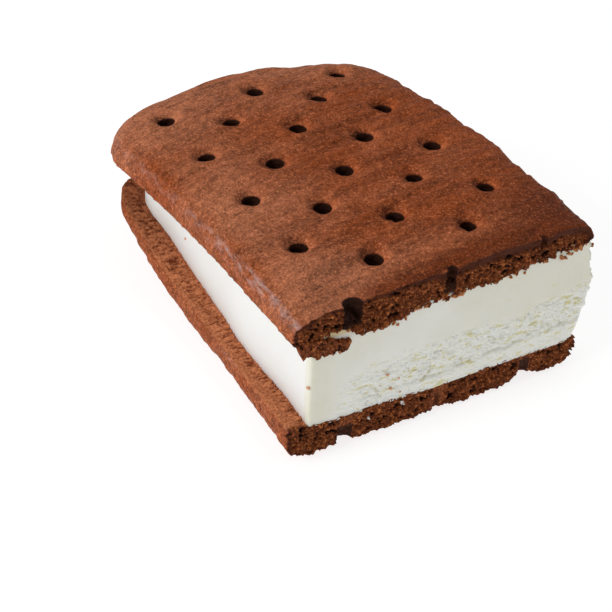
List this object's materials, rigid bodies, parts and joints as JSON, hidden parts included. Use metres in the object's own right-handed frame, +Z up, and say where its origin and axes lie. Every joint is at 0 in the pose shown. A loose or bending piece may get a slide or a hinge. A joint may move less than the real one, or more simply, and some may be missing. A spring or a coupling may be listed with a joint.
{
  "type": "ice cream sandwich half",
  "caption": "Knife-cut half of a rectangular ice cream sandwich: docked chocolate wafers above and below a thick slab of vanilla ice cream, pinched together at the closed end.",
  "frame": {"origin": "centre of the bounding box, on the surface that the sandwich rests on", "axes": "+Z up, +Y along the sandwich from the cut face to the closed end, +X across it"},
  "size_m": [0.0547, 0.0663, 0.0285],
  "materials": {
    "chocolate_wafer": "matt baked chocolate biscuit with a fine grain, crumbly and darker where it is cut",
    "vanilla_ice_cream": "soft white frozen cream, smooth at the sides and finely torn on the cut"
  },
  "bodies": {
    "root": {"wafer_top": "chocolate_wafer", "ice_cream": "vanilla_ice_cream", "wafer_bottom": "chocolate_wafer"}
  },
  "joints": []
}
